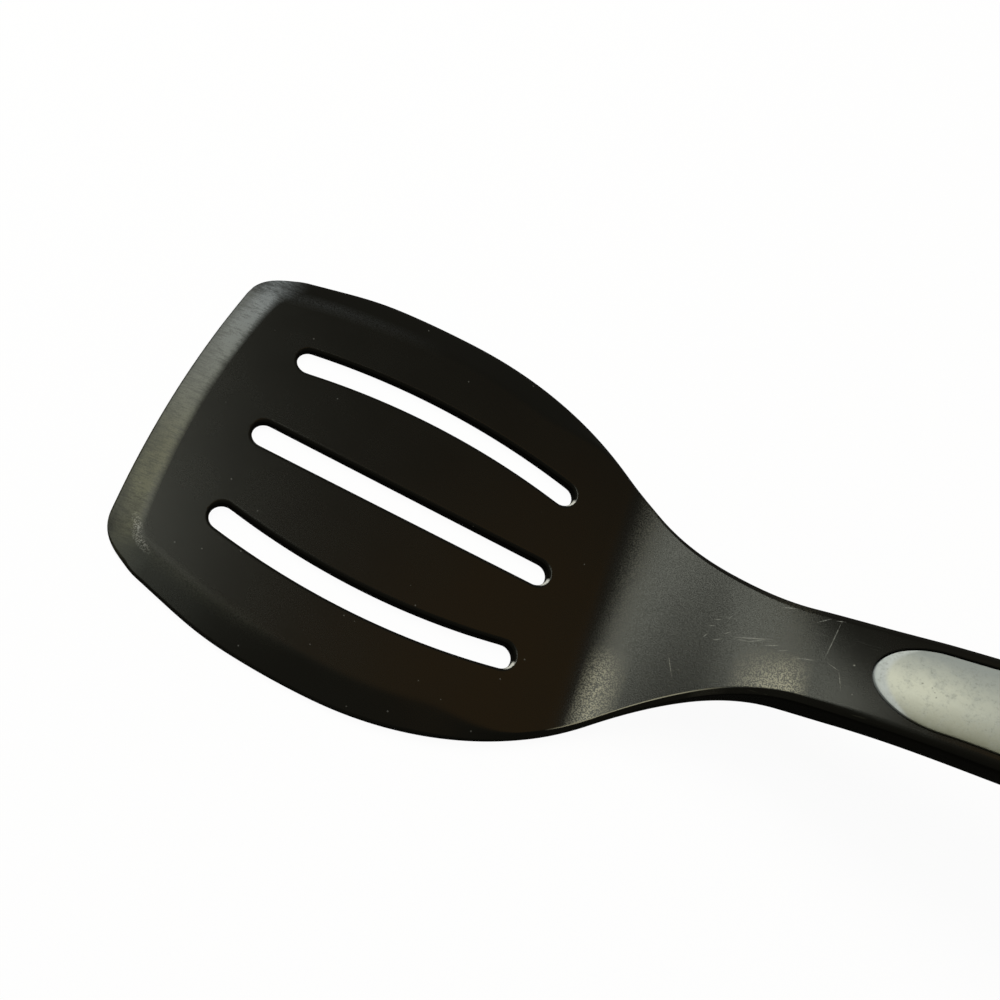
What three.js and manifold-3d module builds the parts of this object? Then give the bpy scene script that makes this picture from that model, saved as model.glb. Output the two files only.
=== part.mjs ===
import * as THREE from 'three';
import { mergeVertices } from 'three/addons/utils/BufferGeometryUtils.js';
import Module from 'manifold-3d';

// Slotted spatula in millimetres. The blade lies flat, with its underside on z = 0.
// The origin is on that underside, on the middle line, between the slots and the heel bend.
// +X runs along the tool to the end of the handle, +Y to its side and +Z up.

// Blade outline, seen from above
const BLADE_WIDTH = 95.5;
const BLADE_REACH = 94;
const WIDEST_AHEAD = 40.5;
const FRONT_EDGE_RADIUS = 270;
const FRONT_CORNER_RADIUS = 11;
const SIDE_FRONT_RADIUS = 158;
const SIDE_REAR_RADIUS = 84.5;
const FLARE_ANGLE = THREE.MathUtils.degToRad(41);

// Blade thickness at the heel and at the front, and the sloped margin that thins it towards its edges
const BLADE_THICKNESS = 2.6;
const FRONT_THICKNESS = 1.7;
const EDGE_THICKNESS = 0.6;
const EDGE_ROUND = 0.2;
const FRONT_BEVEL = 5;
const FRONT_CREST_RADIUS = 170;
const CREST_FADE = 30;
const CREST_CORNER = 7;
const SIDE_BEVEL = 6.8;
const SIDE_BEVEL_END = 21;
const HEEL_CHAMFER = 1.1;

// Slots: a straight one in the middle and one bowed outwards on each side
const SLOT_WIDTH = 5.6;
const SLOT_FRONT_MARGIN = 18;
const SLOT_REAR_MARGIN = 4.8;
const OUTER_SLOT_SETBACK = 0.7;
const SLOT_PITCH = 24.85;
const OUTER_SLOT_RADIUS = 157;
const SLOT_RIM = 0.4;

// Side profile of the top face above the blade's heel: steep neck, then a handle that flattens out
const HEEL_X = 5.5;
const STEEP_X = 31;
const STEEP_RISE = 12.1;
const STEEP_SLOPE = 0.714;
const HANDLE_X = 59;
const HANDLE_RISE = 27;
const HANDLE_SLOPE = 0.426;
const END_X = 221;
const END_RISE = 61.1;
const END_SLOPE = 0.09;

// Sections of the neck, the grip and the tail
const NECK_X = 48;
const NECK_WIDTH = 22.7;
const NECK_EDGE = 0.9;
const NECK_EDGE_DROP = 0.5;
const NECK_DEPTH = 10.5;
const GRIP_X = 100;
const GRIP_WIDTH = 26.2;
const GRIP_DEPTH = 12.4;
const SHOULDER_INSET = 3.8;
const SHOULDER_DROP = 3.2;
const TOP_CROWN = 0.5;
const TAIL_FROM_END = 30;
const TAIL_WIDTH = 24;
const TAIL_DEPTH = 11;
const END_ROUND = 13;
const END_THINNING = 0.4;
const UNDERSIDE_X = 10;
const UNDERSIDE_ROUND = 7;
const UNDERSIDE_INSET = 11.5;
const MIN_FLANK = 0.4;

// Back shell that closes the hollow handle from below
const SHELL_FRONT_X = 44;
const SHELL_FLOOR = 2;
const SEAM_GAP = 0.3;
const FIT_CLEARANCE = 0.3;
const SKIRT_WALL = 1.2;
const SKIRT_DEPTH = 1;
const TONGUE_WALL = 1;
const RIB_THICKNESS = 1.2;

// Grip inlay in a pocket of the handle's top, held by pegs through the pocket's floor
const INLAY_X = 60.8;
const INLAY_FROM_END = 40;
const INLAY_FRONT_WIDTH = 17.9;
const INLAY_WIDTH = 19.6;
const INLAY_FRONT_ROUND = 14;
const INLAY_REAR_ROUND = 20;
const INLAY_REAR_TAPER = 2.2;
const INLAY_PROUD = 0.1;
const INLAY_CROWN = 1;
const INLAY_RIM = 2;
const INLAY_RIM_DROP = 0.45;
const POCKET_DEPTH = 1.6;
const PEG_COUNT = 4;
const PEG_DIAMETER = 4;
const PEG_HEAD_DIAMETER = 6.4;
const PEG_HEAD_HEIGHT = 1.2;
const PEG_END_MARGIN = 20;

// Hang hole through the tail
const HANG_FROM_END = 17;
const HANG_LENGTH = 14;
const HANG_WIDTH = 8;
const HANG_WALL = 2;

// Facets, the share of a step left flat at a rounded tip, and a reach past the tool for cutting bodies
const ACROSS = 6;
const AROUND = 4;
const BLADE_STEP = 8;
const NECK_STEP = 4;
const HANDLE_STEP = 6;
const ARC_SEGMENTS = 10;
const TIP = 0.25;
const FAR = 80;

const wasm = await Module();
wasm.setup();

const solidFrom = (geometry) => {
  geometry.deleteAttribute('normal');
  geometry.deleteAttribute('uv');
  const merged = mergeVertices(geometry, 1e-5);
  return new wasm.Manifold(new wasm.Mesh({
    numProp: 3,
    vertProperties: new Float32Array(merged.attributes.position.array),
    triVerts: new Uint32Array(merged.index.array),
  }));
};

const geometryFrom = (solid) => {
  const mesh = solid.getMesh();
  const geometry = new THREE.BufferGeometry();
  geometry.setAttribute('position', new THREE.BufferAttribute(mesh.vertProperties, 3));
  geometry.setIndex(new THREE.BufferAttribute(mesh.triVerts, 1));
  geometry.computeVertexNormals();
  return geometry;
};

// Smooth step from value a at x = from to value b at x = to
const ease = (x, from, to, a, b) => a + (b - a) * THREE.MathUtils.smoothstep(x, from, to);

// Cubic from (x0, v0) with slope m0 to (x1, v1) with slope m1
const hermite = (x, x0, v0, m0, x1, v1, m1) => {
  const run = x1 - x0;
  const t = THREE.MathUtils.clamp((x - x0) / run, 0, 1);
  const rise = t * t * (3 - 2 * t);
  return v0 + (v1 - v0) * rise + run * t * (1 - t) * ((1 - t) * m0 - t * m1);
};

// The blade's flat panel thickens evenly from the crest of the front bevel to the heel
const crestX = FRONT_BEVEL - BLADE_REACH;
const taper = (BLADE_THICKNESS - FRONT_THICKNESS) / (HEEL_X - crestX);
const panelHeight = (x) => FRONT_THICKNESS + taper * (THREE.MathUtils.clamp(x, crestX, HEEL_X) - crestX);

// Rise of the top face above the blade's heel
const topRise = (x) => {
  if (x < STEEP_X) return hermite(x, HEEL_X, 0, taper, STEEP_X, STEEP_RISE, STEEP_SLOPE);
  if (x < HANDLE_X) {
    return hermite(x, STEEP_X, STEEP_RISE, STEEP_SLOPE, HANDLE_X, HANDLE_RISE, HANDLE_SLOPE);
  }
  return hermite(x, HANDLE_X, HANDLE_RISE, HANDLE_SLOPE, END_X, END_RISE, END_SLOPE);
};

// Rounding factor of the handle's end: 1 along the handle, then falling as a quarter ellipse
const roundStart = END_X - END_ROUND;
const endFactor = (x) => {
  const t = Math.max(0, (x - roundStart) / END_ROUND);
  return Math.sqrt(Math.max(0, 1 - t * t));
};

// The front corner is an arc tangent to the front edge and to the side's front arc
const cornerX = FRONT_CORNER_RADIUS - BLADE_REACH;
const cornerReach = SIDE_FRONT_RADIUS - FRONT_CORNER_RADIUS;
const cornerRun = cornerX + WIDEST_AHEAD;
const cornerY = BLADE_WIDTH / 2 - SIDE_FRONT_RADIUS + Math.sqrt(cornerReach ** 2 - cornerRun ** 2);
const cornerEndX = cornerX + cornerRun * FRONT_CORNER_RADIUS / cornerReach;

// The side's rear arc ends where it has turned by the flare angle, and the neck's curve takes over
const flareX = SIDE_REAR_RADIUS * Math.sin(FLARE_ANGLE) - WIDEST_AHEAD;
const flareHalf = BLADE_WIDTH / 2 - SIDE_REAR_RADIUS * (1 - Math.cos(FLARE_ANGLE));
const tailX = END_X - TAIL_FROM_END;

const bladeHalf = (x, radius) => {
  const run = x + WIDEST_AHEAD;
  return BLADE_WIDTH / 2 - radius + Math.sqrt(radius * radius - run * run);
};

const halfWidth = (x) => {
  if (x < cornerEndX) {
    return cornerY + Math.sqrt(Math.max(0, FRONT_CORNER_RADIUS ** 2 - (x - cornerX) ** 2));
  }
  if (x < -WIDEST_AHEAD) return bladeHalf(x, SIDE_FRONT_RADIUS);
  if (x < flareX) return bladeHalf(x, SIDE_REAR_RADIUS);
  if (x < NECK_X) return hermite(x, flareX, flareHalf, -Math.tan(FLARE_ANGLE), NECK_X, NECK_WIDTH / 2, 0);
  const grip = ease(x, NECK_X, GRIP_X, NECK_WIDTH / 2, GRIP_WIDTH / 2);
  return ease(x, GRIP_X, tailX, grip, TAIL_WIDTH / 2) * endFactor(x);
};

// Share of the climb up the front bevel, from 0 at the front edge to 1 at its crest
const frontClimb = (x) => THREE.MathUtils.clamp((x + BLADE_REACH) / FRONT_BEVEL, 0, 1);
const bladeHeight = (x) => EDGE_THICKNESS + (panelHeight(x) - EDGE_THICKNESS) * frontClimb(x);

// Half width of the crest, where the sloped margins meet the flat panel, round at its front corners
const crestEndX = crestX + CREST_CORNER;
const sideCrest = (x) => halfWidth(x) - ease(x, -SIDE_BEVEL_END, 0, SIDE_BEVEL, HEEL_CHAMFER);
const crestHalf = (x) => {
  if (x > crestEndX) return sideCrest(x);
  const t = Math.min(1, (crestEndX - x) / CREST_CORNER);
  const rounded = cornerY + (sideCrest(crestEndX) - cornerY) * Math.sqrt(1 - t * t);
  return Math.min(rounded, Math.max(cornerY, sideCrest(x)));
};

const depthAt = (x) => {
  const neck = ease(x, HEEL_X, HANDLE_X, bladeHeight(x), NECK_DEPTH);
  const grip = ease(x, HANDLE_X, GRIP_X, neck, GRIP_DEPTH);
  return ease(x, GRIP_X, tailX, grip, TAIL_DEPTH);
};

// One cross section. The handle's end thins towards the seam, the top of the underside's rounding.
const sectionAt = (x) => {
  const end = endFactor(x);
  const thinning = 1 - END_THINNING * (1 - end);
  const half = halfWidth(x);
  const depth = depthAt(x);
  const neckInset = ease(x, 0, NECK_X, half - crestHalf(x), NECK_EDGE);
  const neckDrop = ease(x, flareX, NECK_X, bladeHeight(x) - EDGE_THICKNESS, NECK_EDGE_DROP);
  const drop = ease(x, NECK_X, GRIP_X, neckDrop, SHOULDER_DROP);
  const rounding = ease(x, UNDERSIDE_X, GRIP_X, EDGE_ROUND, UNDERSIDE_ROUND);
  const underRound = Math.min(rounding, depth - drop - MIN_FLANK);
  const seam = bladeHeight(x) + topRise(x) - depth + underRound;
  return {
    x,
    half,
    seam,
    top: seam + (depth - underRound) * thinning,
    bottom: seam - underRound * thinning,
    inset: ease(x, NECK_X, GRIP_X, neckInset, SHOULDER_INSET) * end,
    drop: drop * thinning,
    roundness: THREE.MathUtils.smoothstep(x, NECK_X, GRIP_X),
    underRound: underRound * thinning,
    underInset: Math.min(half, ease(x, UNDERSIDE_X, GRIP_X, EDGE_ROUND, UNDERSIDE_INSET) * end),
    crown: ease(x, HANDLE_X, GRIP_X, 0, TOP_CROWN) * end,
  };
};

// Bow of a section on the blade, from the curves of its front edge and of the front crest
const bow = (x, y) => {
  const ahead = x + BLADE_REACH;
  const curve = ease(ahead, 0, FRONT_BEVEL, 1 / FRONT_EDGE_RADIUS, 1 / FRONT_CREST_RADIUS);
  return ease(ahead, FRONT_BEVEL, FRONT_BEVEL + CREST_FADE, curve, 0) * y * y / 2;
};

const fractions = Array.from({ length: ACROSS + 1 }, (_, i) => 2 * i / ACROSS - 1);
const flipped = (points) => points.map((p) => new THREE.Vector2(-p.x, p.y)).reverse();

// Upper half of a section from -Y to +Y: shoulder, crowned top, shoulder
const upperChain = ({ half, top, inset, drop, roundness, crown }) => {
  const flat = half - inset;
  const from = new THREE.Vector2(flat, top);
  const to = new THREE.Vector2(half, top - drop);
  const control = from.clone().add(to).multiplyScalar(0.5).lerp(new THREE.Vector2(half, top), roundness);
  const shoulder = new THREE.QuadraticBezierCurve(from, control, to).getPoints(AROUND).slice(1);
  const crest = fractions.map((f) => new THREE.Vector2(f * flat, top + crown * (1 - f * f)));
  return [...flipped(shoulder), ...crest, ...shoulder];
};

// Lower half of a section from +Y to -Y: elliptic side, flat underside, elliptic side
const lowerChain = ({ half, bottom, underRound, underInset }) => {
  const flat = half - underInset;
  const side = Array.from({ length: AROUND }, (_, i) => {
    const angle = i / AROUND * Math.PI / 2;
    return new THREE.Vector2(
      flat + underInset * Math.cos(angle),
      bottom + underRound * (1 - Math.sin(angle)),
    );
  });
  const floor = fractions.map((f) => new THREE.Vector2(-f * flat, bottom));
  return [...side, ...floor, ...flipped(side)];
};

const sectionRing = (section) => [...upperChain(section), ...lowerChain(section)]
  .map((p) => new THREE.Vector3(section.x + bow(section.x, p.x), p.x, p.y));

// Box section between two heights
const boxRing = (x, half, bottom, top) => [
  new THREE.Vector3(x, -half, top),
  new THREE.Vector3(x, half, top),
  new THREE.Vector3(x, half, bottom),
  new THREE.Vector3(x, -half, bottom),
];

// Closed skin through rings of equal point counts. A ladder of quads closes each end, so that
// a curved end such as the blade's front edge keeps its curve.
const loft = (rings) => {
  const count = rings[0].length;
  const last = (rings.length - 1) * count;
  const index = [];
  for (let i = 0; i < last; i += count) {
    for (let j = 0; j < count; j += 1) {
      const a = i + j;
      const b = i + (j + 1) % count;
      index.push(a, a + count, b + count, a, b + count, b);
    }
  }
  for (let j = 0; j + 1 < count / 2; j += 1) {
    const k = count - 1 - j;
    index.push(j, j + 1, k - 1, j, k - 1, k);
    index.push(last + j, last + k, last + k - 1, last + j, last + k - 1, last + j + 1);
  }
  const geometry = new THREE.BufferGeometry();
  const positions = rings.flat().flatMap((p) => p.toArray());
  geometry.setAttribute('position', new THREE.Float32BufferAttribute(positions, 3));
  geometry.setIndex(index);
  return solidFrom(geometry);
};

// Evenly spaced stations from a to b
const span = (a, b, step) => {
  const steps = Math.max(1, Math.ceil((b - a) / step));
  return Array.from({ length: steps + 1 }, (_, i) => a + (b - a) * i / steps);
};

// Stations after a that crowd towards b, for a stretch that rounds off just before b
const crowd = (a, b, steps) => Array.from({ length: steps }, (_, i) => (
  a + (b - a) * Math.sin((i + 1) / (steps + TIP) * Math.PI / 2)
));

const panelX = Math.max(cornerEndX, crestEndX);
const frontStations = [
  -BLADE_REACH,
  crestX,
  ...crowd(cornerEndX, -BLADE_REACH, AROUND),
  ...crowd(panelX, crestX, AROUND),
].sort((a, b) => a - b);
const stations = [
  ...frontStations,
  ...span(panelX, HEEL_X, BLADE_STEP),
  ...span(HEEL_X, HANDLE_X, NECK_STEP).slice(1),
  ...span(HANDLE_X, roundStart, HANDLE_STEP).slice(1),
  ...crowd(roundStart, END_X, AROUND + 1),
];
const wholeForm = loft(stations.map((x) => sectionRing(sectionAt(x))));

// Everything below the seam and behind the front of the back shell, held off by a gap
const belowSeam = (gap) => {
  const front = SHELL_FRONT_X + gap;
  const places = [front, ...stations.filter((x) => x > front)];
  const rings = places.map((x) => boxRing(x, FAR, sectionAt(x).seam - FAR, sectionAt(x).seam - gap));
  const behind = rings.at(-1).map((p) => p.clone().setX(END_X + FAR));
  return loft([...rings, behind]);
};

// Slot with round ends whose middle line is an arc, at its furthest from the axis at x = 0
const bowedSlot = (length, width, pitch, radius) => {
  const half = width / 2;
  const sweep = Math.asin((length / 2 - half) / radius);
  const start = Math.PI / 2 - sweep;
  const stop = Math.PI / 2 + sweep;
  const endX = radius * Math.cos(start);
  const endY = pitch - radius + radius * Math.sin(start);
  const shape = new THREE.Shape();
  shape.absarc(0, pitch - radius, radius + half, start, stop, false);
  shape.absarc(-endX, endY, half, stop, stop + Math.PI, false);
  shape.absarc(0, pitch - radius, radius - half, stop, start, true);
  shape.absarc(endX, endY, half, start + Math.PI, start + 2 * Math.PI, false);
  return shape;
};

// Straight slot with round ends
const straightSlot = (length, width) => {
  const half = width / 2;
  const endX = length / 2 - half;
  const shape = new THREE.Shape();
  shape.absarc(endX, 0, half, -Math.PI / 2, Math.PI / 2, false);
  shape.absarc(-endX, 0, half, Math.PI / 2, Math.PI * 1.5, false);
  return shape;
};

const prism = (shape, x, bottom, top, bevel = 0) => {
  const geometry = new THREE.ExtrudeGeometry(shape, {
    depth: top - bottom,
    bevelEnabled: bevel > 0,
    bevelThickness: bevel,
    bevelSize: bevel,
    bevelSegments: 1,
    curveSegments: ARC_SEGMENTS,
  });
  return solidFrom(geometry.translate(x, 0, bottom));
};

// Cutter for a slot through the blade, flared at both faces so that the rims are chamfered
const slotFront = SLOT_FRONT_MARGIN - BLADE_REACH;
const slotX = (slotFront - SLOT_REAR_MARGIN) / 2;
const slotLength = -SLOT_REAR_MARGIN - slotFront;
const taperDegrees = THREE.MathUtils.radToDeg(Math.atan(taper));
const upperFlare = (shape) => prism(shape, 0, 0, FAR, SLOT_RIM)
  .rotate([0, -taperDegrees, 0])
  .translate([slotX, 0, panelHeight(slotX)]);
const slotCutter = (shape) => prism(shape, slotX, -FAR, FAR)
  .add(upperFlare(shape))
  .add(prism(shape, slotX, -FAR, 0, SLOT_RIM));

const mirrored = (solid) => {
  const geometry = geometryFrom(solid).scale(1, -1, 1);
  geometry.index.array.reverse();
  return solidFrom(geometry);
};

const outerLength = slotLength - 2 * OUTER_SLOT_SETBACK;
const outerSlot = slotCutter(bowedSlot(outerLength, SLOT_WIDTH, SLOT_PITCH, OUTER_SLOT_RADIUS));
const middleSlot = slotCutter(straightSlot(slotLength, SLOT_WIDTH));
const slots = middleSlot.add(outerSlot).add(mirrored(outerSlot));

// Inlay outline: a long pad with elliptic ends that tapers towards the tail
const inlayEnd = END_X - INLAY_FROM_END;
const inlayHalf = (x) => {
  const front = THREE.MathUtils.clamp((INLAY_X + INLAY_FRONT_ROUND - x) / INLAY_FRONT_ROUND, 0, 1);
  const rear = THREE.MathUtils.clamp((x - inlayEnd + INLAY_REAR_ROUND) / INLAY_REAR_ROUND, 0, 1);
  const grip = ease(x, INLAY_X + INLAY_FRONT_ROUND, GRIP_X, INLAY_FRONT_WIDTH / 2, INLAY_WIDTH / 2);
  const half = ease(x, GRIP_X, inlayEnd, grip, grip - INLAY_REAR_TAPER);
  return half * Math.sqrt((1 - front * front) * (1 - rear * rear));
};
const inlayStations = [
  ...crowd(INLAY_X + INLAY_FRONT_ROUND, INLAY_X, AROUND + 2).reverse(),
  ...span(INLAY_X + INLAY_FRONT_ROUND, inlayEnd - INLAY_REAR_ROUND, HANDLE_STEP),
  ...crowd(inlayEnd - INLAY_REAR_ROUND, inlayEnd, AROUND + 2),
];

const topAt = (x) => sectionAt(x).top;
const pocketFloor = (x) => topAt(x) - POCKET_DEPTH;
const pocket = loft(inlayStations.map((x) => (
  boxRing(x, inlayHalf(x) + FIT_CLEARANCE, pocketFloor(x), topAt(x) + FAR)
)));

const inlayPad = loft(inlayStations.map((x) => sectionRing({
  x,
  half: inlayHalf(x),
  top: topAt(x) + INLAY_PROUD,
  bottom: pocketFloor(x) + FIT_CLEARANCE,
  inset: Math.min(INLAY_RIM, inlayHalf(x) / 2),
  drop: INLAY_RIM_DROP,
  roundness: 1,
  underRound: EDGE_ROUND,
  underInset: EDGE_ROUND,
  crown: INLAY_CROWN * inlayHalf(x) / (INLAY_WIDTH / 2),
})));

// Rebate inside the skirt of the body's underside, up to the underside of the pocket's floor
const rebateTop = (x) => sectionAt(x).seam + SKIRT_DEPTH;

// Pegs stand square to the handle's top, and their heads lie under the pocket's floor
const pegStep = (inlayEnd - INLAY_X - 2 * PEG_END_MARGIN) / (PEG_COUNT - 1);
const pegPlaces = Array.from({ length: PEG_COUNT }, (_, i) => INLAY_X + PEG_END_MARGIN + i * pegStep);
const pegCylinder = (x, diameter, upper, lower) => {
  const slope = Math.atan2(topAt(x + NECK_STEP) - topAt(x - NECK_STEP), 2 * NECK_STEP);
  const geometry = new THREE.CylinderGeometry(diameter / 2, diameter / 2, upper - lower, 4 * AROUND);
  geometry.rotateX(Math.PI / 2).translate(0, 0, (upper + lower) / 2);
  return solidFrom(geometry.rotateY(-slope).translate(x, 0, topAt(x)));
};
const headTop = (x) => rebateTop(x) - topAt(x) - FIT_CLEARANCE;
const addPegs = (pad) => pegPlaces.reduce((solid, x) => solid
  .add(pegCylinder(x, PEG_DIAMETER, -POCKET_DEPTH / 2, headTop(x) - PEG_HEAD_HEIGHT / 2))
  .add(pegCylinder(x, PEG_HEAD_DIAMETER, headTop(x), headTop(x) - PEG_HEAD_HEIGHT)), pad);
const cutPegHoles = (solid) => pegPlaces.reduce((rest, x) => (
  rest.subtract(pegCylinder(x, PEG_DIAMETER + 2 * FIT_CLEARANCE, 0, headTop(x) - PEG_HEAD_HEIGHT))
), solid);

// The hang hole, or with a wall the boss around it, through the whole height of the tail
const hangX = END_X - HANG_FROM_END;
const hangHole = (wall) => prism(
  straightSlot(HANG_LENGTH + 2 * wall, HANG_WIDTH + 2 * wall),
  hangX,
  topAt(hangX) - FAR,
  topAt(hangX) + FAR,
);

// Inner spaces run from a wall behind the shell's front to where the handle's end rounds off
const innerStations = (wall) => {
  const front = SHELL_FRONT_X + wall;
  return [front, ...stations.filter((x) => x > front && x <= roundStart)];
};
const innerHalf = (x, wall) => halfWidth(x) - wall;

const rebate = loft(innerStations(SKIRT_WALL).map((x) => (
  boxRing(x, innerHalf(x, SKIRT_WALL), sectionAt(x).seam - FAR, rebateTop(x))
))).subtract(hangHole(HANG_WALL));

const bodyMoulding = cutPegHoles(wholeForm
  .subtract(slots)
  .subtract(belowSeam(0))
  .subtract(rebate)
  .subtract(pocket)
  .subtract(hangHole(0)));

// The shell's tongue rises into the rebate, and is the inner part of the shell's wall
const tongueOffset = SKIRT_WALL + FIT_CLEARANCE;
const shellWall = tongueOffset + TONGUE_WALL;
const tongue = loft(innerStations(tongueOffset).map((x) => (
  boxRing(x, innerHalf(x, tongueOffset), sectionAt(x).seam - TONGUE_WALL, rebateTop(x) - FIT_CLEARANCE)
))).subtract(hangHole(HANG_WALL + FIT_CLEARANCE));

// Cross ribs stand between the pegs and carry the pocket's floor
const ribs = pegPlaces.slice(1).map((x) => x - pegStep / 2).map((x) => {
  const places = [x - RIB_THICKNESS / 2, x + RIB_THICKNESS / 2];
  return loft(places.map((p) => boxRing(p, FAR, rebateTop(p) - FAR, rebateTop(p) - FIT_CLEARANCE)));
});

const trough = loft(innerStations(shellWall).map((x) => {
  const section = sectionAt(x);
  return sectionRing({
    ...section,
    half: innerHalf(x, shellWall),
    top: section.top + FAR,
    bottom: section.bottom + SHELL_FLOOR,
    inset: EDGE_ROUND,
    drop: EDGE_ROUND,
    underInset: Math.max(EDGE_ROUND, section.underInset - shellWall),
    crown: 0,
  });
})).subtract(hangHole(HANG_WALL));
const hollow = ribs.reduce((rest, rib) => rest.subtract(rib), trough);

const backShell = wholeForm
  .intersect(belowSeam(SEAM_GAP))
  .add(tongue)
  .subtract(hollow)
  .subtract(hangHole(0));

const piece = (name, solid, color, roughness) => {
  const material = new THREE.MeshStandardMaterial({ color, roughness, metalness: 0 });
  const mesh = new THREE.Mesh(geometryFrom(solid), material);
  mesh.name = name;
  return mesh;
};

const spatula = new THREE.Group();
spatula.name = 'slotted_spatula';
spatula.add(piece('body_moulding', bodyMoulding, 0x1c1b17, 0.42));
spatula.add(piece('handle_back_shell', backShell, 0x1a1a17, 0.45));
spatula.add(piece('grip_inlay', addPegs(inlayPad), 0xb4b6aa, 0.6));

export default spatula;
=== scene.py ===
"""Slotted spatula: worn black nylon tool with a grey grip pad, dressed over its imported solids."""
import math
from functools import partial
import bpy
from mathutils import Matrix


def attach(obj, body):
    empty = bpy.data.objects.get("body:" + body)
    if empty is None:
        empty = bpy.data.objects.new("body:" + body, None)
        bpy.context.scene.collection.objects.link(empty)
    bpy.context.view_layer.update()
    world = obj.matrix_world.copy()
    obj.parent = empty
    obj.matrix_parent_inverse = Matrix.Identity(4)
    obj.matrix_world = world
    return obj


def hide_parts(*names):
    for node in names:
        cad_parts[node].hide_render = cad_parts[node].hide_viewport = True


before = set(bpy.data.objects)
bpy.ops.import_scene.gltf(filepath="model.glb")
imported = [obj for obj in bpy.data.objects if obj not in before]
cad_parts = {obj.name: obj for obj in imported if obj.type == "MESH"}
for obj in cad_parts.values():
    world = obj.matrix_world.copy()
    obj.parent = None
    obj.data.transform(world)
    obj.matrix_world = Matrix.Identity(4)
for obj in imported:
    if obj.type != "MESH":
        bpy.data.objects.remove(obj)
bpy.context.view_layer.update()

from types import SimpleNamespace

import bmesh
import bpy
import numpy as np
from bpy.props import FloatProperty, FloatVectorProperty, PointerProperty
from bpy.types import Operator, Panel, PropertyGroup
from mathutils import Matrix, Vector

bl_info = {
    "name": "Slotted Spatula",
    "version": (1, 0, 0),
    "blender": (4, 5, 0),
    "location": "View3D > Sidebar > Spatula",
    "description": "Builds a slotted kitchen spatula with its finishes and a studio",
    "category": "Add Mesh",
}

MM = 0.001
# Points closer than this are one point
WELD = 1e-6
# Distance from a hole's tip to a row of the mesh that keeps its shading clean
SUPPORT = 0.4 * MM
# Angle of the edge that is left where a face turns into a hole's rounded rim
RIM_CREASE = math.radians(34)
# Largest share of a bevel that its rounded crest may take to one side
MOST_SOFT = 0.45
# Steps of a plan line: across the front, round the corner and along the side
FRONT_STEPS, CORNER_STEPS, SIDE_STEPS = 60, 160, 240
# Steps from a hole's tip to the centre of its rounding, and of each rounding in its wall
TIP_STEPS, RIM_STEPS = 10, 7
# Shares across a face, closer together at both of its borders
CROWDED = np.array([0.0, 0.03, 0.12, 0.27, 0.43, 0.6, 0.76, 0.9, 0.97, 1.0])
MIRRORED = np.array([1.0, -1.0, 1.0])
UPSIDE_DOWN = np.array([1.0, 1.0, -1.0])

# Sizes of patterns in millimetres. The nylon's grain and the pad's are coarser than the real ones so that they show
NYLON_GRAIN, NYLON_PATCH, NYLON_CLOUD = 0.3, 7, 14
STREAK_LENGTH, STREAK_PITCH = 2.5, 0.45
HAIRLINE_LENGTH, HAIRLINE_PITCH = 7, 0.4
DUST_PITCH = 5
PAD_GRAIN, PAD_DIRT, PAD_MOTTLE = 0.4, 0.5, 2.5
NYLON = {'IOR': 1.53, 'Specular IOR Level': 0.12}
ELASTOMER = {'IOR': 1.5, 'Specular IOR Level': 0.25}
WHITE = (1.0, 1.0, 1.0, 1.0)

# Stage in metres and degrees. A lamp's row holds its name, place, size, watts and tint
FLOOR_REACH, FLOOR_DROP = 6.0, 0.3 * MM
LAMP_TARGET = (0.02, 0.0, 0.01)
SOFTBOXES = (
    ("tall_window", (-0.551, 0.549, 0.912), (0.27, 0.96), 10.1, (0.99, 1.0, 0.98)),
    ("left_softbox", (-0.534, 0.013, 1.074), (0.28, 0.46), 2.6, (0.95, 1.0, 0.96)),
    ("brown_bounce", (0.264, 0.4, 1.115), (0.5, 0.5), 0.75, (1.0, 0.46, 0.05)))
ROOM_TINT, ROOM_STRENGTH = (1.0, 0.98, 0.9, 1.0), 0.22
CAMERA_PLACE = (-0.05849, -0.12623, 0.22886)
CAMERA_TURN = (-25.714, 20.2424, -20.6357)
# Lens and sensor in millimetres, nearest place in metres
CAMERA_LENS, CAMERA_SENSOR, CAMERA_NEAR = 43.2, 36.0, 0.01

# Rows of x, y, angle to the tool's length in degrees, half the length and half the width, in millimetres
NECK_SCRATCHES = (
    (52.1, 4.3, 79.7, 5.9, 0.11), (53.1, -1.8, -27, 1.6, 0.1), (54.8, -4.4, -75, 2.3, 0.1),
    (37.9, 0.3, 11.8, 4.3, 0.18), (38.4, -0.2, 24.4, 2.0, 0.16), (47.8, -1.7, 9.2, 2.2, 0.15),
    (41.4, -0.4, 16, 2.2, 0.15), (36.1, -0.7, 4, 1.3, 0.14), (43.6, -1.0, 20, 1.4, 0.12),
    (29.6, -1.2, 58, 0.7, 0.13), (31.8, -1.7, 24, 1.2, 0.13), (33.3, 0.4, 40, 0.9, 0.12),
    (30.3, 1.4, 6, 0.8, 0.12), (33.0, 4.2, 52, 0.6, 0.12), (31.0, 3.2, 14, 0.9, 0.12),
    (42.9, 9.6, 10.2, 2.0, 0.11), (49.8, 8.6, 35.7, 1.8, 0.1), (52.9, 9.5, 12.4, 1.1, 0.12),
    (25.1, -10.1, -71.5, 3.4, 0.09), (56.8, -0.1, 0, 0.3, 0.25))
# Painted highlights: grainy glints on the near front corner's crest
CORNER_GLINTS = ((-86.3, -31.4, -55, 3.2, 1.1), (-84.2, -34.2, -30, 3.5, 1.1))
PAD_NICKS = (
    (69.4, 0.1, 20, 0.32, 0.22), (71.3, -0.3, 0, 0.22, 0.2), (71.9, -1.2, 0, 0.2, 0.18), (72.3, -2.2, 60, 0.3, 0.2))


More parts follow.
